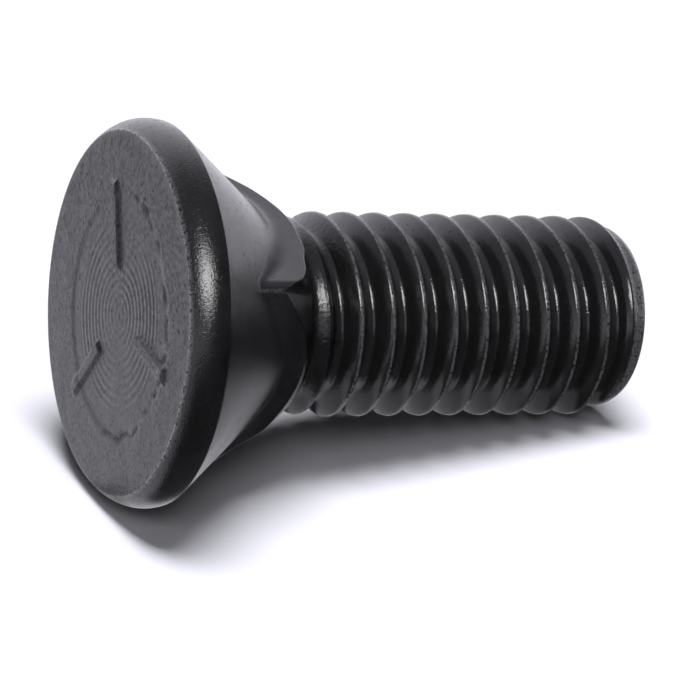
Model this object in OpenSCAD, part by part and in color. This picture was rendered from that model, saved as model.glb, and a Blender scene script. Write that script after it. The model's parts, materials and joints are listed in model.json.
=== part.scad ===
// Flat countersunk plow bolt with a square neck, lying on its side.
// Head, neck, shank and thread are one piece of steel, headed and rolled from wire.
// Lengths are millimetres. Along the bolt they are counted from the face of the head.

/* [Head] */
// Diameter of the head at the widest place of its rim
head_d = 17.4; // [15.5:0.1:20]
// Diameter of the flat face
face_d = 16.3; // [14:0.1:17]
// Distance from the face to the widest place of the rim
rim_peak = 1.25; // [0.8:0.05:1.5]
// Distance from the face to the rim's back edge
rim_h = 1.7; // [1.6:0.05:2.2]
// Angle that the countersink's sides make with each other
countersink_angle = 80; // [70:1:90]

/* [Grade marks] */
// Number of raised lines on the face
mark_count = 3; // [0:1:6]
// Length of a line
mark_l = 3.9; // [2:0.1:5]
// Width of a line at its foot
mark_foot_w = 0.7; // [0.4:0.05:1]
// Width of a line at its top
mark_top_w = 0.3; // [0.1:0.05:0.4]
// Height of a line above the face
mark_h = 0.15; // [0.05:0.05:0.4]
// Distance of a line's inner end from the middle of the marking die
mark_inner = 2.1; // [1:0.1:3]
// Turn of the first line, from straight down
mark_turn = 36; // [0:1:119]
// How far the die sat off the bolt's axis
die_off = 0.3; // [0:0.05:0.8]
// Direction in which the die sat off the axis, from straight down
die_off_turn = 275; // [0:1:359]

/* [Square neck] */
// Width of the neck across its flats
neck_w = 9.7; // [9:0.1:10.4]
// Width of the neck across its blunt corners
neck_corner_w = 13.25; // [11.5:0.05:13.7]
// How far the neck stands out from the countersink, along the axis
neck_proud = 1.1; // [0.6:0.1:1.6]
// Turn of the neck about the axis
neck_turn = 14; // [0:1:89]

/* [Thread] */
// Overall length of the bolt
length = 25; // [22:0.1:50]
// Diameter over the crests of the thread
thread_d = 9.4; // [9:0.05:9.5]
// Distance from one crest to the next, which is sixteen threads to the inch
pitch = 1.5875; // [1:0.0125:2]
// Angle between the two flanks of a thread
flank_angle = 60; // [55:1:65]
// Width of a crest, as a share of the pitch
crest_flat = 0.125; // [0.08:0.005:0.2]
// Width of a root, as a share of the pitch
root_flat = 0.25; // [0.15:0.01:0.3]
// Diameter of the plain shank, which is the wire before rolling
shank_d = 8.6; // [8.4:0.05:8.9]
// Length of plain shank between the neck and the first trace of thread
plain_l = 0.4; // [0.2:0.1:2]
// Length over which the thread grows to its full depth
runout_l = 2.2; // [1:0.1:4]
// Place of a crest along the underside, within one pitch
thread_shift = 0.9; // [0:0.05:1.5]
// Diameter of the flat end of the point
point_d = 8.2; // [7:0.1:8.6]
// Angle between the side of the point and the axis
point_angle = 30; // [20:1:45]

/* [Hidden] */
steel = [0.17, 0.17, 0.18];
overlap = 0.4;
rim_edge = 0.05;
turn_steps = 48;
$fn = 96;

head_r = head_d / 2;
face_r = face_d / 2;
thread_r = thread_d / 2;
shank_r = shank_d / 2;
point_r = point_d / 2;

// The rim is one round band: an arc through the face's edge that is widest at rim_peak
rim_drop = head_r - face_r;
rim_arc_r = (rim_peak * rim_peak + rim_drop * rim_drop) / (2 * rim_drop);
rim_arc_at = head_r - rim_arc_r;
rim_back_r = rim_arc_at + sqrt(pow(rim_arc_r, 2) - pow(rim_h - rim_peak, 2));

// The countersink runs from the rim's back edge to the shank.
// The neck ends on a cone of the same angle, moved along the axis by neck_proud.
slope = tan(countersink_angle / 2);
function countersink_at(r) = rim_h + (rim_back_r - r) / slope;
neck_corner_r = neck_corner_w / 2;
neck_end = countersink_at(neck_w / 2) + neck_proud;

// One turn of the thread: share of the pitch from a crest's middle, and height from root to crest
thread_depth = pitch * (1 - crest_flat - root_flat) / 2 / tan(flank_angle / 2);
thread_rows = [
    [-crest_flat / 2, 1],
    [crest_flat / 2, 1],
    [(1 - root_flat) / 2, 0],
    [(1 + root_flat) / 2, 0],
];
row_count = len(thread_rows);

// The threaded rod starts inside the neck and is longer than the bolt, so that both ends are trimmed
thread_start = neck_end + plain_l;
rod_from = thread_shift + pitch * floor((neck_end - 2 * overlap - thread_shift) / pitch - 1);
rod_turns = ceil((length - rod_from) / pitch) + 2;
section_count = rod_turns * turn_steps;

// Full-depth thread ends where the point cuts into the crests
point_from = length - (thread_r - point_r) / tan(point_angle);
rest_turn = floor((point_from - thread_shift) / pitch - crest_flat / 2);
rest_at = thread_shift + pitch * (rest_turn + crest_flat / 2);

// Lying still, the bolt touches the floor with its rim and with the last full crest
rest_run = rest_at - rim_peak;
rest_rise = thread_r - rim_arc_at;
lean = asin(rim_arc_r / norm([rest_run, rest_rise])) - atan2(rest_rise, rest_run);
lift = rim_arc_r + rim_peak * sin(lean) + rim_arc_at * cos(lean);
head_reach = -face_r * sin(lean);
point_reach = length * cos(lean) + point_r * sin(lean);

function smooth(x) = let (t = min(max(x, 0), 1)) t * t * (3 - 2 * t);

// Radius of the rod at a place along the axis, for a row of the thread's form
function rod_radius(at, height) =
    let (formed = smooth((at - thread_start) / runout_l))
    let (full = thread_r - thread_depth * (1 - height))
    shank_r + formed * (full - shank_r);

function rod_point(section, row) =
    let (turn = 360 * section / turn_steps)
    let (at = rod_from + pitch * (section / turn_steps + thread_rows[row][0]))
    let (r = rod_radius(at, thread_rows[row][1]))
    [r * cos(turn), r * sin(turn), at];

// Four numbered corners, in order around a patch seen from outside, as two triangles
function patch(a, b, c, d) = [[a, b, c], [a, c, d]];

// Thread and plain shank as one closed surface whose rows follow the helix
module threaded_rod() {
    last = row_count - 1;
    points = [
        for (section = [0:section_count]) for (row = [0:last]) rod_point(section, row),
        [0, 0, rod_from],
        [0, 0, rod_from + pitch * rod_turns],
    ];
    foot = len(points) - 2;
    top = len(points) - 1;
    number = function (section, row) section * row_count + row;
    along = [
        for (s = [0:section_count - 1]) for (row = [0:last - 1]) each
            patch(number(s, row), number(s, row + 1), number(s + 1, row + 1), number(s + 1, row))
    ];
    between_turns = [
        for (s = [0:section_count - turn_steps - 1]) each
            patch(number(s, last), number(s + turn_steps, 0),
                number(s + turn_steps + 1, 0), number(s + 1, last))
    ];
    foot_edge = concat(
        [for (s = [0:turn_steps]) number(s, 0)],
        [for (row = [last:-1:1]) number(0, row)]
    );
    top_edge = concat(
        [for (s = [section_count:-1:section_count - turn_steps]) number(s, last)],
        [for (row = [0:last - 1]) number(section_count, row)]
    );
    foot_fan = [
        for (i = [0:len(foot_edge) - 1]) [foot_edge[i], foot_edge[(i + 1) % len(foot_edge)], foot]
    ];
    top_fan = [
        for (i = [0:len(top_edge) - 1]) [top_edge[i], top_edge[(i + 1) % len(top_edge)], top]
    ];
    polyhedron(points, concat(along, between_turns, foot_fan, top_fan), convexity = 20);
}

// The rod cut to length, with its chamfered point
module threaded_shank() {
    clear_r = thread_r + overlap;
    intersection() {
        threaded_rod();
        rotate_extrude() polygon([
            [0, neck_end - 2 * overlap],
            [clear_r, neck_end - 2 * overlap],
            [clear_r, length - (clear_r - point_r) / tan(point_angle)],
            [point_r, length],
            [0, length],
        ]);
    }
}

// Flat face, round rim and countersink: a cone whose wide end is turned down to the rim's arc
module head() {
    core_r = face_r - rim_edge;
    rotate_extrude() intersection() {
        polygon([
            [0, 0],
            [rim_back_r + rim_h * slope, 0],
            [shank_r, countersink_at(shank_r)],
            [0, countersink_at(shank_r)],
        ]);
        union() {
            translate([rim_arc_at, rim_peak]) circle(r = rim_arc_r);
            square([core_r, countersink_at(shank_r) + overlap]);
        }
    }
}

// Square neck with blunt corners, which run out on a cone
module square_neck() {
    intersection() {
        rotate([0, 0, neck_turn]) translate([-neck_w / 2, -neck_w / 2, rim_h])
            cube([neck_w, neck_w, neck_end - rim_h]);
        rotate_extrude() polygon([
            [0, 0],
            [neck_corner_r, 0],
            [neck_corner_r, neck_end - (neck_corner_r - neck_w / 2) / slope],
            [neck_w / 2, neck_end],
            [0, neck_end],
        ]);
    }
}

// Raised lines that tell the grade of the steel
module grade_marks() {
    translate([die_off * cos(die_off_turn), die_off * sin(die_off_turn), 0])
        for (i = [0:1:mark_count - 1]) rotate([0, 0, mark_turn + i * 360 / mark_count])
            translate([mark_inner, 0, 0]) rotate([90, 0, 90]) linear_extrude(mark_l) polygon([
                [-mark_foot_w / 2, overlap],
                [-mark_foot_w / 2, 0],
                [-mark_top_w / 2, -mark_h],
                [mark_top_w / 2, -mark_h],
                [mark_foot_w / 2, 0],
                [mark_foot_w / 2, overlap],
            ]);
}

// The whole bolt, tipped over from standing on its face to lying on the floor
module plow_bolt() {
    color(steel)
        translate([-(head_reach + point_reach) / 2, 0, lift]) rotate([0, 90 + lean, 0]) {
            head();
            grade_marks();
            square_neck();
            threaded_shank();
        }
}

plow_bolt();
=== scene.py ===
import json
import math

import bpy
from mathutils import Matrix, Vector, noise


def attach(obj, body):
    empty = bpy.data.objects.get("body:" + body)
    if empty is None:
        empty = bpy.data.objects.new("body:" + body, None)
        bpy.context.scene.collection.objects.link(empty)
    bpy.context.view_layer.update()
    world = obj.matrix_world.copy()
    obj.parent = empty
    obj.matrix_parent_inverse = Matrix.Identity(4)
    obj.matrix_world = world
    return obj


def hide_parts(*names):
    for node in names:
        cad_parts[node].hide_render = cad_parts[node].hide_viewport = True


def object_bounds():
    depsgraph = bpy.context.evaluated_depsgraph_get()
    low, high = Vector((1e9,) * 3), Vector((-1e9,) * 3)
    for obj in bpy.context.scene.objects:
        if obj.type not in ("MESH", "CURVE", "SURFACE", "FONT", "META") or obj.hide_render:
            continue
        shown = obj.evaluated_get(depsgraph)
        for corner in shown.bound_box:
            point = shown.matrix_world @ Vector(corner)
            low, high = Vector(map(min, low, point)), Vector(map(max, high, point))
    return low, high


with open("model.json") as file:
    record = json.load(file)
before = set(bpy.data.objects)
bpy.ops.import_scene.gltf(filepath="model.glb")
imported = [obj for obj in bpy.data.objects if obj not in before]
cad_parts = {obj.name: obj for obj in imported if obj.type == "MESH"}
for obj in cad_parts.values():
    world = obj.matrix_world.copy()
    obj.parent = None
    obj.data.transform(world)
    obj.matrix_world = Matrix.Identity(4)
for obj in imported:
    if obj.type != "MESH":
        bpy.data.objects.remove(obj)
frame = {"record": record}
cad_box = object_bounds()

# The bolt
# It is headed and rolled from one length of steel wire, so all of it is one mesh, and it lies on its rim and
# its last threads. A point of it is given in millimetres and radians: along the axis from the face of the
# head, out from the axis, and the turn round it from the top towards the front.
mm = 0.001
mounts = {mount["name"]: mount for mount in frame["record"]["mounts"]}
face_middle = Vector(mounts["head_face"]["pos_m"])
axis = -Vector(mounts["head_face"]["axis"])
front = Vector((0, -1, 0))
upper = front.cross(axis)
full_turn = 2 * math.pi
points = []
faces = []
worn = []
dull = []


def bolt_point(along, out, turn):
    sideways = math.cos(turn) * upper + math.sin(turn) * front
    return face_middle + mm * (along * axis + out * sideways)


def add_row(row, row_worn=(), row_dull=()):
    """Adds a row of points (along, out, turn) with their wear and dullness, and gives their numbers."""
    first = len(points)
    points.extend(bolt_point(*point) for point in row)
    worn.extend(row_worn or [0] * len(row))
    dull.extend(row_dull or [0] * len(row))
    return range(first, len(points))


def join(row, next_row):
    """Skins the band between two closed rows that have the same number of points."""
    count = len(row)
    for i in range(count):
        j = (i + 1) % count
        faces.append((row[i], row[j], next_row[j], next_row[i]))


def smooth(share):
    """Rises from 0 to 1 without a corner while the share does."""
    t = min(max(share, 0), 1)
    return t * t * (3 - 2 * t)


# The face of the head
# The die of the heading machine left it flat, with three raised lines that tell the grade of the steel and
# fine rings from the turning of the die. The die sat a little off the bolt's axis, and the edge of the
# shallow recess that it pressed is torn on one side.
low, high = cad_box
head_r = (high.y - low.y) / 2 / mm
face_inset = 0.55
face_r = head_r - face_inset
die_off = 0.3
die_off_turn = math.radians(95)
die_up = die_off * math.cos(die_off_turn)
die_front = die_off * math.sin(die_off_turn)
mark_count = 3
mark_turn = math.radians(216)
mark_ends = ((2.5, 6.2), (2.1, 6.0), (2.3, 5.85))
mark_w = 0.66
mark_h = 0.15
mark_flank = 0.24
ring_pitch = 0.375
ring_h = 0.014
rings_from = 1.5
rings_to = 4.3
rings_fade = 0.6
recess_r = 5.1
recess_h = 0.04
recess_edge = 0.4
tear_r = 5.4
tear_h = 0.05
tear_half = 0.3
tear_wander = 0.4
dent_h = 0.012
dents_rough_from = 4.6
dents_to = face_r - 0.15
dents_fade = 0.5
pit_shade_least = 0.14
pit_shade_towards_top = 0.2
torn_edge_dullness = 0.5


def mark_height(up, forward):
    """Height of the grade lines at a place on the face, counted from the die's middle."""
    height = 0
    for i in range(mark_count):
        turn = mark_turn + full_turn * i / mark_count
        outward = up * math.cos(turn) + forward * math.sin(turn)
        beside = abs(forward * math.cos(turn) - up * math.sin(turn))
        inner, outer = mark_ends[i]
        from_end = min(outward - inner, outer - outward)
        flank = smooth((mark_w / 2 - beside) / mark_flank + 0.5)
        height += mark_h * flank * smooth(from_end / mark_flank + 0.5)
    return height


def torn_share(up, forward):
    """Share of tearing along the recess's edge, which is torn in places on its front half."""
    place = Vector((up, forward, 5.0))
    off_edge = math.hypot(up, forward) - tear_r - tear_wander * noise.noise(place * 0.8)
    in_places = smooth(noise.noise(place * 1.7) * 2 + 0.6)
    return smooth(1 - abs(off_edge) / tear_half) * in_places * smooth(forward / 2 + 0.5)


def ring_height(up, forward):
    """Height of the turning rings, plainer in some places than in others, on a shallow recess."""
    from_die = math.hypot(up, forward)
    plainness = 0.65 + 0.6 * noise.noise(Vector((up, forward, 0)) * 0.35)
    fading = smooth((rings_to - from_die) / rings_fade + 0.5) * smooth(from_die / rings_from)
    beside_marks = 1 - mark_height(up, forward) / mark_h
    ring = ring_h * plainness * fading * beside_marks * math.sin(full_turn * from_die / ring_pitch)
    recess = recess_h * (1 - smooth((from_die - recess_r) / recess_edge))
    return ring - recess - tear_h * torn_share(up, forward)


def dent_height(up, forward):
    """Shallow unevenness that the die's worn rim left, rougher on the outer part of the face."""
    place = Vector((up, forward, 2.0))
    rough = 0.5 * smooth(math.hypot(up, forward) - dents_rough_from)
    return dent_h * (noise.noise(place * 0.7) + rough * noise.noise(place * 2.2))


def face_dullness(up, forward):
    """Share of dull dark diffuse: spots of painted shade in the face's pits, more of them towards the top of
    the face, and more along the torn edge of the recess.
    """
    place = Vector((up, forward, 5.0))
    spots = smooth((noise.noise(place * 4.2) + 0.7 * noise.noise(place * 8.8)) * 1.1 + 0.4)
    return (pit_shade_least + pit_shade_towards_top * smooth(up / 10 + 0.5)) * spots + torn_edge_dullness * torn_share(up, forward)


# The face is skinned from rows round the die's middle, close enough to show the rings and then the grade
# lines. Their columns crowd at the grade lines, and towards the rim the rows move over to the bolt's axis.
face_columns = 288
crowding = 0.6
rows_per_ring = 5
marks_to = 6.5
mark_row = 0.11
plain_to = face_r - 0.45
plain_row = 0.2
centring_from = 6
centring_l = 1.4


def face_row(from_die, centring):
    """A row round the die's middle, or round the axis where centring is 1, and its shares of dullness."""
    row = []
    row_dull = []
    for column in range(face_columns):
        even = full_turn * column / face_columns
        turn = mark_turn + even - crowding / mark_count * math.sin(mark_count * even)
        up = from_die * math.cos(turn) + centring * -die_up
        forward = from_die * math.sin(turn) + centring * -die_front
        level = smooth((dents_to - from_die) / dents_fade)
        height = mark_height(up, forward) + ring_height(up, forward) + level * dent_height(up, forward)
        row_dull.append(face_dullness(up, forward))
        up += die_up
        forward += die_front
        row.append((-height, math.hypot(up, forward), math.atan2(forward, up)))
    return row, row_dull


ring_rows = round(recess_r / ring_pitch * rows_per_ring)
row_radii = [ring_pitch / rows_per_ring * i for i in range(2, ring_rows + 1)]
while row_radii[-1] < marks_to:
    row_radii.append(row_radii[-1] + mark_row)
while row_radii[-1] < plain_to:
    row_radii.append(row_radii[-1] + plain_row)
face_middle_number = add_row([(-dent_height(0, 0), die_off, die_off_turn)])[0]
row_points, row_dull = face_row(row_radii[0], 0)
row = add_row(row_points, row_dull=row_dull)
for column in range(face_columns):
    faces.append((face_middle_number, row[(column + 1) % face_columns], row[column]))
for from_die in row_radii[1:]:
    last_row = row
    row_points, row_dull = face_row(from_die, smooth((from_die - centring_from) / centring_l))
    row = add_row(row_points, row_dull=row_dull)
    join(last_row, row)
face_edge_row = row
face_edge_turns = [turn for _, _, turn in row_points]


# The rim, the countersink and the square neck
# The rim bulges where the steel met the die's parting. Behind it the cone of the countersink runs down to a
# short square neck, whose corners run out on a second cone. All edges are a little round from forging, and
# the edges of the face and of the neck's end are rubbed.
def along_axis(mount):
    """Distance of a mount of the record from the face of the head."""
    return (Vector(mounts[mount]["pos_m"]) - face_middle).dot(axis) / mm


rim_peak = 1.25
rim_h = along_axis("countersink")
rim_back_r = mounts["countersink"]["dims"]["r_mm"]
rim_drop = head_r - face_r
rim_arc_r = (rim_peak ** 2 + rim_drop ** 2) / (2 * rim_drop)
rim_rows = 10
neck_half = 4.85
neck_end = along_axis("square_neck")
neck_corner = math.radians(59)
neck_corner_round = 0.4
neck_bevel = 0.06
countersink_l = mounts["countersink"]["dims"]["length_mm"]
countersink_slope = (rim_back_r - neck_half) / countersink_l
shoulder_l = 0.16
shoulder_drop = 0.15
shank_r = 4.3
shank_from = neck_end + 0.19
thread_from = neck_end + 0.3
flare_foot = 0.08
flare_h = 0.22
flare_l = 0.8
face_edge_w = 0.25
face_edge_round = 0.1
rim_back_round = 0.08
neck_round = 0.12
upper_side_round = 1.9
shoulder_round = 0.08
face_edge_wear = (0.5, 1, 1, 0.5)
neck_edge_wear = (0, 0.4, 0.6, 0.4, 0)
burr_wear = 0.25
burr_turn = 60.5
burr_half = 0.4
burr_from = 3.6
burr_to = 5.3
burr_fade = 0.3
black_from = 57
black_to = 95

# The dies closed unevenly on the neck, so its sides do not all end on the cone. Pairs of turn in degrees and
# of how far beyond the cone the side ends.
side_ends = (
    (-31, -0.1), (-15, 0.12), (22, 0.15), (40, 0.42), (55, 0.85), (61, 0.12), (70, 0.15),
    (104, 0), (134, -0.03), (147, -0.75), (151, -0.75), (170, 0), (329, -0.1),
)


def side_beyond(turn):
    """How far the neck's side ends beyond the cone."""
    first_turn = side_ends[0][0]
    degrees = (math.degrees(turn) - first_turn) % 360 + first_turn
    for (start, before), (end, after) in zip(side_ends, side_ends[1:]):
        if degrees <= end:
            return before + (after - before) * smooth((degrees - start) / (end - start))


def neck_radius(turn):
    """Distance from the axis to the side of the square neck."""
    off_corner = (turn - neck_corner + math.pi / 4) % (math.pi / 2) - math.pi / 4
    core = neck_half - neck_corner_round
    if abs(off_corner) > math.pi / 4 - math.atan2(core, neck_half):
        return neck_half / math.cos(math.pi / 4 - abs(off_corner))
    to_core = core * math.sqrt(2)
    beside = to_core * math.sin(off_corner)
    return to_core * math.cos(off_corner) + math.sqrt(neck_corner_round ** 2 - beside ** 2)


def rounded(before, corner, after, radius, steps):
    """Points of a round edge in place of the sharp corner between two straight stretches."""
    into, away = corner - before, after - corner
    bend = into.angle(away)
    cut = min(radius * math.tan(bend / 2), 0.45 * into.length, 0.45 * away.length)
    start = corner - cut * into.normalized()
    end = corner + cut * away.normalized()
    edge = []
    for i in range(steps + 1):
        t = i / steps
        edge.append((1 - t) ** 2 * start + 2 * t * (1 - t) * corner + t ** 2 * end)
    return edge


def between(first, last, steps):
    """Points inside a straight stretch, closer together at its ends."""
    return [first.lerp(last, smooth(i / steps)) for i in range(1, steps)]


def rim_point(along):
    return Vector((along, head_r - rim_arc_r + math.sqrt(rim_arc_r ** 2 - (along - rim_peak) ** 2)))


def edge_black(degrees):
    """Share of the neck's edge that kept its black skin, below the near corner."""
    return smooth((degrees - black_from) / 3) * (1 - smooth((degrees - black_to) / 12))


def burr_share(along, degrees):
    """Share of the thin burr that stands on the neck's near corner."""
    beside = smooth(2 - abs(degrees - burr_turn) / burr_half)
    return beside * smooth((along - burr_from) / burr_fade) * smooth((burr_to - along) / burr_fade)


def head_outline(turn):
    """Section of the head and the neck at a turn round the axis, as (along, out, wear)."""
    side = neck_radius(turn)
    face_inside = Vector((0, face_r - face_edge_w))
    face_edge = Vector((0, face_r))
    rim = [rim_point(rim_h * i / rim_rows) for i in range(1, rim_rows)]
    rim_back = Vector((rim_h, rim_back_r))
    neck_start = Vector((rim_h + (rim_back_r - side) / countersink_slope, side))
    side_end_at = neck_end - neck_bevel - (side - neck_half) / countersink_slope + side_beyond(turn)
    side_end = Vector((side_end_at, side))
    shoulder = Vector((neck_end + shoulder_l, neck_half - shoulder_drop))
    shank_start = Vector((shank_from, shank_r + flare_h + flare_foot))
    shank_end = Vector((thread_from, shank_r + flare_h))

    on_upper_side = smooth((math.cos(turn - neck_corner + math.pi / 4) - 0.6) / 0.3)
    fillet_r = neck_round + upper_side_round * on_upper_side
    round_face_edge = rounded(face_inside, face_edge, rim[0], face_edge_round, len(face_edge_wear) - 1)
    back_edge = rounded(rim[-1], rim_back, neck_start, rim_back_round, 3)
    fillet = rounded(rim_back, neck_start, side_end, fillet_r, 6)
    neck_edge = rounded(neck_start, side_end, shoulder, neck_round, len(neck_edge_wear) - 1)
    shoulder_edge = rounded(side_end, shoulder, shank_start, shoulder_round, 3)
    shank_fillet = rounded(shoulder, shank_start, shank_end, neck_round, 3)

    countersink = between(back_edge[-1], fillet[0], 12)
    neck_side = between(fillet[-1], neck_edge[0], 6)
    end_cone = between(neck_edge[-1], shoulder_edge[0], 8)
    shoulder_side = between(shoulder_edge[-1], shank_fillet[0], 3)
    before_edge = rim + back_edge + countersink + fillet + neck_side
    after_edge = end_cone + shoulder_edge + shoulder_side + shank_fillet + [shank_end]

    degrees = math.degrees(turn) % 360
    outline = [face_inside.lerp(face_edge, 0.5)] + round_face_edge + before_edge + neck_edge + after_edge
    wear = [0, *face_edge_wear] + [0] * len(before_edge)
    wear += [share * (1 - edge_black(degrees)) for share in neck_edge_wear] + [0] * len(after_edge)
    return [
        (at.x, at.y, max(share, burr_wear * burr_share(at.x, degrees)))
        for at, share in zip(outline, wear)
    ]


def stitch(row, row_turns, next_row, next_turns):
    """Skins the band between two closed rows that have different numbers of points."""
    i = j = 0
    while i < len(row) or j < len(next_row):
        step_row = j == len(next_row) or (i < len(row) and row_turns[i + 1] < next_turns[j + 1])
        here, beyond = row[i % len(row)], next_row[j % len(next_row)]
        if step_row:
            i += 1
            faces.append((here, beyond, row[i % len(row)]))
        else:
            j += 1
            faces.append((here, beyond, next_row[j % len(next_row)]))


def turn_list(first_turn, row_turns):
    """Turns of a closed row, counted from the first turn, and the row's start among them."""
    counted = [(turn - first_turn) % full_turn for turn in row_turns]
    start = counted.index(min(counted))
    counted = counted[start:] + counted[:start]
    return counted + [counted[0] + full_turn], start


# From the rim on, the rows run round the axis. Their columns crowd at the four corners of the square neck.
columns = 240
turns = []
for column in range(columns):
    even = full_turn * column / columns
    turns.append(neck_corner + even - crowding / 4 * math.sin(4 * even))

head_rows = []
for section in zip(*(head_outline(turn) for turn in turns)):
    row_points = [(along, out, turn) for (along, out, _), turn in zip(section, turns)]
    head_rows.append(add_row(row_points, [wear for _, _, wear in section]))
for row, next_row in zip(head_rows, head_rows[1:]):
    join(row, next_row)
inner_turns, inner_start = turn_list(turns[0], face_edge_turns)
outer_turns, outer_start = turn_list(turns[0], turns)
inner = [*face_edge_row[inner_start:], *face_edge_row[:inner_start]]
outer = [*head_rows[0][outer_start:], *head_rows[0][:outer_start]]
stitch(outer, outer_turns, inner, inner_turns)

# The thread and the point
# The coarse right-hand thread was rolled into the shank, so its crests stand above the wire, lean a little
# and are rubbed, and its roots lie below it. It grows out of the shank behind the neck and ends in the
# chamfer of the point, which was turned before rolling.
bolt_l = along_axis("thread")
thread_r = mounts["thread"]["dims"]["r_mm"]
thread_start = bolt_l - mounts["thread"]["dims"]["length_mm"] - 0.6
crest_runout = 2.6
root_runout = 1.7
point_fade_at = bolt_l - 1.3
point_fade_l = 0.9
pitch = 25.4 / 16
thread_shift = 0.9
crest_flat = 0.125
root_flat = 0.25
crest_round = 0.08
root_round = 0.12
crest_lean = 0.2
crest_lean_half = 0.12
crest_lean_fade = 0.06
flank_angle = math.radians(60)
flank_share = (1 - crest_flat - root_flat) / 2
thread_depth = pitch * flank_share / math.tan(flank_angle / 2)
shank_rise = 1 - (thread_r - shank_r) / thread_depth
half_rows = (0.02, 0.045, 0.0625, 0.1, 0.24, 0.33, 0.38, 0.44)
thread_rows = [-0.5] + [-share for share in reversed(half_rows)] + [0] + list(half_rows)
crest_wear = 0.45
crest_wear_half = 0.05
crest_wear_fade = 0.03
crest_wear_at = thread_start + 1.2
crest_wear_l = 1.5
point_r = 4.1
point_angle = math.radians(30)
point_blend = 0.06
point_wear = 0.35
point_rub = 0.3
point_rub_turn = math.radians(70)
point_wear_at = bolt_l - 0.8
point_wear_l = 0.2
end_edge = 0.05
end_round = 0.08
end_dish = 0.12
end_dish_at = 0.3
end_dish_l = 2.5
end_insets = (0.02, 0.08, 0.2, 0.6, 1.2, 1.8, 2.4, 3.0, 3.6, 3.9)


def soft_least(first, second, blend):
    """The lesser of two numbers, with the corner between them rounded."""
    return min(first, second) - max(blend - abs(first - second), 0) ** 2 / (4 * blend)


def crest_place(step):
    """Place along the axis of the crest's middle, after a number of columns round the helix."""
    whole, column = divmod(step, columns)
    return thread_shift + pitch * (whole + (turns[column] - math.pi) / full_turn)


def point_worn(turn):
    """Share of wear on the point, which is rubbed most at the front."""
    return point_wear + point_rub * smooth(math.cos(turn - point_rub_turn))


def thread_form(along, share, turn):
    """Radius of the thread at a share of the pitch from a crest's middle, and its share of wear."""
    rise = (flank_share + crest_flat / 2 - abs(share)) / flank_share
    rise = -soft_least(-soft_least(rise, 1, crest_round), 0, root_round)
    runout = crest_runout if rise > shank_rise else root_runout
    formed = smooth((along - thread_start) / runout) * (1 - smooth((along - point_fade_at) / point_fade_l))
    flare = flare_h * max(1 - (along - thread_from) / flare_l, 0) ** 2
    on_crest = smooth((crest_lean_half - abs(share)) / crest_lean_fade)
    leaning = crest_lean * pitch * max(crest_flat / 2 - share, 0) * on_crest
    rolled = shank_r + flare + (thread_depth * (rise - shank_rise) - leaning) * formed
    chamfer = point_r + (bolt_l - along) * math.tan(point_angle)
    crest_worn = crest_wear * smooth((crest_wear_half - abs(share)) / crest_wear_fade)
    crest_worn *= smooth((along - crest_wear_at) / crest_wear_l)
    turned = point_worn(turn) * smooth((along - point_wear_at) / point_wear_l)
    return soft_least(rolled, chamfer, point_blend), max(crest_worn, turned)


chamfer_end = bolt_l - end_edge
end_r = point_r + end_edge * math.tan(point_angle)
shank_row = head_rows[-1]
end_row = add_row([(chamfer_end, end_r, turn) for turn in turns], [point_worn(turn) for turn in turns])
thread_numbers = {}
too_thin = 0.012


def thread_number(step, row):
    """Number of a point of the thread, or of the shank's or the end's row that it would lie beyond."""
    if row == len(thread_rows):
        step, row = step + columns, 0
    column = step % columns
    along = crest_place(step) + pitch * thread_rows[row]
    if along < thread_from + too_thin:
        return shank_row[column]
    if along > chamfer_end - too_thin:
        return end_row[column]
    if (step, row) not in thread_numbers:
        out, wear = thread_form(along, thread_rows[row], turns[column])
        thread_numbers[step, row] = add_row([(along, out, turns[column])], [wear])[0]
    return thread_numbers[step, row]


first_turn = math.floor((thread_from - thread_shift) / pitch) - 2
last_turn = math.ceil((bolt_l - thread_shift) / pitch) + 2
for step in range(first_turn * columns, last_turn * columns):
    for row in range(len(thread_rows)):
        corners = (
            thread_number(step, row),
            thread_number(step + 1, row),
            thread_number(step + 1, row + 1),
            thread_number(step, row + 1),
        )
        distinct = tuple(dict.fromkeys(corners))
        if len(distinct) > 2:
            faces.append(distinct)

row = end_row
for inset in end_insets:
    last_row = row
    rounding = end_edge * (1 - smooth(inset / end_round)) * 0.3
    sunk = end_dish * smooth((inset - end_dish_at) / end_dish_l) + rounding
    row = add_row([(bolt_l - sunk, point_r - inset, turn) for turn in turns])
    join(last_row, row)
end_middle = add_row([(bolt_l - end_dish, 0, 0)])[0]
for column in range(columns):
    faces.append((row[column], row[(column + 1) % columns], end_middle))

bolt_mesh = bpy.data.meshes.new("plow_bolt_steel")
bolt_mesh.from_pydata([tuple(point) for point in points], [], faces, shade_flat=False)
for name, shares in (("worn", worn), ("dull", dull)):
    bolt_mesh.attributes.new(name, "FLOAT", "POINT").data.foreach_set("value", shares)
bolt = bpy.data.objects.new("plow_bolt_steel", bolt_mesh)
bpy.context.scene.collection.objects.link(bolt)
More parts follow.
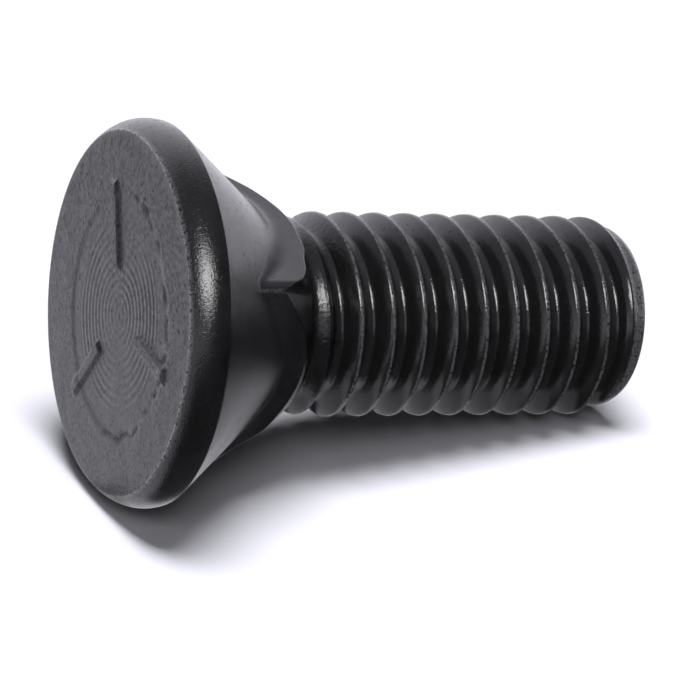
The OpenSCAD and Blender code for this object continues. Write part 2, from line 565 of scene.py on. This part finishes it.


# The black finish
# The steel was blackened in a hot bath and oiled. The skin is nearly black and satin, with the grain and
# pits of the forged surface under it. Dust greys the countersink and the thread, a dull dark diffuse mixed
# into the skin paints the shade of the pits on the face, and rubbed edges and crests show bare steel.
class Shade:
    """A socket of a node tree. Arithmetic on sockets adds the Math nodes that work it out."""

    def __init__(self, tree, socket=None):
        self.tree = tree
        self.socket = socket

    def node(self, kind, settings, inputs, output=0):
        """Adds a node, sets it up, fills or links its sockets and gives one of its outputs."""
        made = self.tree.nodes.new(kind)
        for name, value in settings.items():
            setattr(made, name, value)
        for name, value in inputs.items():
            if isinstance(value, Shade):
                self.tree.links.new(value.socket, made.inputs[name])
            else:
                made.inputs[name].default_value = value
        return Shade(self.tree, made.outputs[output] if made.outputs else None)

    def maths(self, operation, first, second):
        return self.node("ShaderNodeMath", {"operation": operation}, {0: first, 1: second})

    def __add__(self, other):
        return self.maths("ADD", self, other)

    __radd__ = __add__

    def __sub__(self, other):
        return self.maths("SUBTRACT", self, other)

    def __rsub__(self, other):
        return self.maths("SUBTRACT", other, self)

    def __mul__(self, other):
        return self.maths("MULTIPLY", self, other)

    __rmul__ = __mul__

    def __truediv__(self, other):
        return self.maths("DIVIDE", self, other)

    def __rtruediv__(self, other):
        return self.maths("DIVIDE", other, self)

    def rise(self, low, high):
        """Goes from 0 to 1, without a corner, while this value goes from low to high."""
        inputs = {"Value": self, "From Min": low, "From Max": high}
        return self.node("ShaderNodeMapRange", {"interpolation_type": "SMOOTHSTEP"}, inputs)

    def mix(self, first, second):
        """The first colour where this value is 0 and the second where it is 1."""
        inputs = {"Factor": self, 6: first, 7: second}
        return self.node("ShaderNodeMix", {"data_type": "RGBA"}, inputs, 2)

    def vector(self, operation, second, output=0):
        return self.node("ShaderNodeVectorMath", {"operation": operation}, {0: self, 1: second}, output)

    def noise(self, scale, detail):
        return self.node("ShaderNodeTexNoise", {}, {"Vector": self, "Scale": scale, "Detail": detail})


black_skin = (0.0025, 0.0024, 0.0023, 1)
oily_skin = (0.005, 0.005, 0.0055, 1)
cone_dust = (0.018, 0.018, 0.019, 1)
thread_dust = (0.016, 0.0155, 0.015, 1)
bare_steel = (0.24, 0.237, 0.234, 1)
dull_black = (0.012, 0.012, 0.012, 1)
skin_ior = 1.46
grain_depth = 0.012 * mm

black_steel = bpy.data.materials.new("black_steel")
black_steel.use_nodes = True
black_steel.node_tree.nodes.clear()
steel = Shade(black_steel.node_tree)
place = steel.node("ShaderNodeTexCoord", {}, {}, "Object")
from_face = place.vector("SUBTRACT", tuple(face_middle))
along = from_face.vector("DOT_PRODUCT", tuple(axis), "Value") / mm
on_face = 1 - along.rise(-0.02, 0.06)
on_rim = along.rise(0.05, 0.2) * (1 - along.rise(1.6, 1.75))
on_cone = along.rise(rim_h, rim_h + 0.3) * (1 - along.rise(neck_end - 2.4, neck_end - 0.8))
on_shank = along.rise(neck_end - 0.2, neck_end + 0.1) * (1 - along.rise(neck_end + 2, neck_end + 2.6))
on_thread = along.rise(neck_end + 1.6, neck_end + 2.4)
grain = place.noise(14 / mm, 2)
pits = place.noise(5.5 / mm, 3)
patches = place.noise(1.1 / mm, 4)
specks = place.noise(9 / mm, 1).rise(0.58, 0.75)
wear = steel.node("ShaderNodeAttribute", {"attribute_name": "worn"}, {}, "Fac")
bare = wear * place.noise(9 / mm, 2).rise(0.34, 0.58)

colour = patches.rise(0.35, 0.7).mix(black_skin, oily_skin)
colour = (0.7 * on_cone).mix(colour, cone_dust)
colour = (0.5 * on_thread).mix(colour, thread_dust)
colour = bare.mix(colour, bare_steel)
roughness = (0.14 + 0.1 * patches + 0.05 * grain) * (1 - 0.35 * on_thread) + 0.03 * wear
pitted = 0.35 + 0.5 * on_face + 0.1 * on_rim + 1.2 * on_shank + 0.4 * wear
relief = (0.5 + 0.5 * on_rim) * grain + pitted * pits + (0.25 + 0.15 * on_rim) * specks
normal = steel.node("ShaderNodeBump", {}, {"Strength": 1.0, "Distance": grain_depth, "Height": relief})
skin = steel.node(
    "ShaderNodeBsdfPrincipled",
    {},
    {"Base Color": colour, "Metallic": 0.8 * bare, "Roughness": roughness, "IOR": skin_ior, "Normal": normal},
)

# Dull dark diffuse mixed into the skin: painted shade of the pits, in spots on the face that thicken towards
# its top and along the torn edge, and in dark dots everywhere but on rubbed steel.
dull_diffuse = steel.node("ShaderNodeBsdfDiffuse", {}, {"Color": dull_black})
scale = steel.node("ShaderNodeAttribute", {"attribute_name": "dull"}, {}, "Fac")
face_pit_shade = 0.38 * on_face * place.noise(7 / mm, 2).rise(0.48, 0.7)
dots = place.noise(6 / mm, 1).rise(0.65, 0.73)
scale = scale + face_pit_shade + (0.5 - 0.35 * on_face) * (1 - wear) * dots
steel.node(
    "ShaderNodeOutputMaterial",
    {},
    {"Surface": steel.node("ShaderNodeMixShader", {}, {0: scale, 1: skin, 2: dull_diffuse})},
)
bolt_mesh.materials.append(black_steel)
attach(bolt, "root")
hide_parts("plow_bolt")

# The floor
# A sheet of matt white card. Four glowing cards lie on it that only reflections meet and that paint
# reflections into the steel: a bright one behind the bolt, a dark one in front of it that paints the near
# side of the steel black, and two pale strips along the bolt's foot that paint a pale reflection on its
# underside.
floor_half = 0.4
floor_pale = (0.93, 0.93, 0.93, 1)
floor_dark = (0.91, 0.91, 0.91, 1)
card_tint = (0.97, 0.965, 1.04)
card_lift = 0.02
card_change = 8 * mm
strip_left, strip_right = -17, 30
strip_front, strip_middle, strip_back = -4.1, -2.2, 2


def flat_card(name, corners, material):
    mesh = bpy.data.meshes.new(name)
    mesh.from_pydata(corners, [], [(0, 1, 2, 3)])
    mesh.materials.append(material)
    card = bpy.data.objects.new(name, mesh)
    bpy.context.scene.collection.objects.link(card)
    return card


def matt_card(name, pale, dark):
    """A card whose colour wanders a little between two greys."""
    material = bpy.data.materials.new(name)
    material.use_nodes = True
    material.node_tree.nodes.clear()
    card = Shade(material.node_tree)
    blotches = card.node("ShaderNodeTexCoord", {}, {}, "Object").noise(60, 2)
    colour = blotches.mix(pale, dark)
    surface = card.node("ShaderNodeBsdfDiffuse", {}, {"Color": colour})
    card.node("ShaderNodeOutputMaterial", {}, {"Surface": surface})
    return material


def painted_reflection_card(name, corners, level, right_level):
    """A glowing card that only reflections meet, a painted reflection with its own level at its left and
    right.
    """
    material = bpy.data.materials.new(name)
    material.use_nodes = True
    material.node_tree.nodes.clear()
    card = Shade(material.node_tree)
    place = card.node("ShaderNodeTexCoord", {}, {}, "Object")
    rightward = place.vector("DOT_PRODUCT", (1, 0, 0), "Value").rise(0, card_change)
    glow = rightward.mix(
        (*(level * part for part in card_tint), 1),
        (*(right_level * part for part in card_tint), 1),
    )
    surface = card.node("ShaderNodeEmission", {}, {"Color": glow})
    card.node("ShaderNodeOutputMaterial", {}, {"Surface": surface})
    made = flat_card(name, [(x * mm, y * mm, card_lift * mm) for x, y in corners], material)
    made.visible_camera = False
    made.visible_diffuse = False
    made.visible_shadow = False


def strip(near, far):
    """Corners of a strip of card along the bolt's foot."""
    return (strip_left, near), (strip_right, near), (strip_right, far), (strip_left, far)


flat_card(
    "floor",
    [(x * floor_half, y * floor_half, 0) for x, y in ((-1, -1), (1, -1), (1, 1), (-1, 1))],
    matt_card("white_card", floor_pale, floor_dark),
)
painted_reflection_card("back_card", ((20, 15), (220, 15), (220, 150), (20, 150)), 1.4, 1.4)
painted_reflection_card("dark_card", ((-260, -300), (400, -300), (70, strip_front), (-12, strip_front)), 0.13, 0.06)
painted_reflection_card("pale_card", strip(strip_front, strip_middle), 1.0, 0.06)
painted_reflection_card("near_card", strip(strip_middle, strip_back), 0.5, 0.4)

# The light
# A wide softbox above the bolt lights the floor, and a weak fill in front of it softens the shadow. The steel
# mirrors a white room whose back wall is the brightest part, dark at the front and the right, and one small
# lamp above the camera gives it sparkle.
room_tint = (0.92, 0.91, 1.0, 1)
room_level = 0.52
seen_level = 1.2
world = bpy.data.worlds.new("white_room")
bpy.context.scene.world = world
world.use_nodes = True
world.node_tree.nodes.clear()
world.cycles_visibility.diffuse = False
room = Shade(world.node_tree)
towards = room.node("ShaderNodeTexCoord", {}, {}, "Generated")
flat_way = towards.vector("MULTIPLY", (1, 1, 0)).vector("NORMALIZE", (0, 0, 0))
backward = flat_way.vector("DOT_PRODUCT", (0.05, 0.9987, 0), "Value").rise(0.5, 1.0)
leftward = flat_way.vector("DOT_PRODUCT", (-0.9, -0.43, 0), "Value").rise(0.3, 0.95)
forward = flat_way.vector("DOT_PRODUCT", (0.8, -0.6, 0), "Value").rise(0.2, 0.9)
far_way = flat_way.vector("DOT_PRODUCT", (0.3, 0.95, 0), "Value").rise(0.0, 0.7)
height = towards.vector("DOT_PRODUCT", (0, 0, 1), "Value")
back_wall = backward * (0.5 + 0.5 * height.rise(0.05, 0.45) - height.rise(0.78, 0.95))
left_wall = leftward * (1 - height.rise(0.1, 0.45))
front_dark = forward * (1 - height.rise(0.5, 0.9))
horizon = far_way * (1 - height.rise(0.05, 0.35))
level = room_level + 0.4 * horizon + 1.5 * back_wall + 1.1 * left_wall - 0.3 * front_dark
seen = room.node("ShaderNodeLightPath", {}, {}, "Is Camera Ray")
strength = level * (1 - seen) + seen_level * seen
room.node(
    "ShaderNodeOutputWorld",
    {},
    {"Surface": room.node("ShaderNodeBackground", {}, {"Color": room_tint, "Strength": strength})},
)


def lamp(name, size, energy, tint, way_to, distance):
    """A lamp of the given width and depth, turned to the bolt from an azimuth and a height in degrees."""
    azimuth, elevation = (math.radians(angle) for angle in way_to)
    data = bpy.data.lights.new(name, "AREA")
    data.shape = "ELLIPSE"
    data.size, data.size_y = size
    data.energy = energy
    data.color = tint
    made = bpy.data.objects.new(name, data)
    way = Vector((
        math.sin(azimuth) * math.cos(elevation),
        math.cos(azimuth) * math.cos(elevation),
        math.sin(elevation),
    ))
    made.location = distance * way
    made.rotation_mode = "QUATERNION"
    made.rotation_quaternion = way.to_track_quat("Z", "Y")
    bpy.context.scene.collection.objects.link(made)
    return made


cool, warm = (0.96, 0.955, 1.05), (1.0, 0.99, 1.0)
softbox = lamp("softbox", (0.42, 0.8), 16.9, cool, (155, 84), 1.2)
softbox.visible_glossy = False
fill = lamp("fill", (0.25, 0.25), 0.49, cool, (200, 43), 0.5)
fill.visible_glossy = False
small_lamp = lamp("small_lamp", (90 * mm, 70 * mm), 0.245, warm, (197, 43), 150 * mm)
small_lamp.visible_diffuse = False

# The camera
# It stands in front of the bolt and above it, a little towards the head's side, so that the face shows. The
# lens is long, and the view runs along the bolt from the head to the point.
camera_at = Vector((-61.02, -131.98, 69.15))
camera_down = 23.8675
camera_turn = -24.6445
camera_data = bpy.data.cameras.new("camera")
camera_data.sensor_width = 36
camera_data.lens = 177.06
camera = bpy.data.objects.new("camera", camera_data)
camera.location = camera_at * mm
camera.rotation_euler = (math.radians(90 - camera_down), 0, math.radians(camera_turn))
bpy.context.scene.collection.objects.link(camera)
bpy.context.scene.camera = camera
bpy.context.scene.view_settings.view_transform = "Standard"
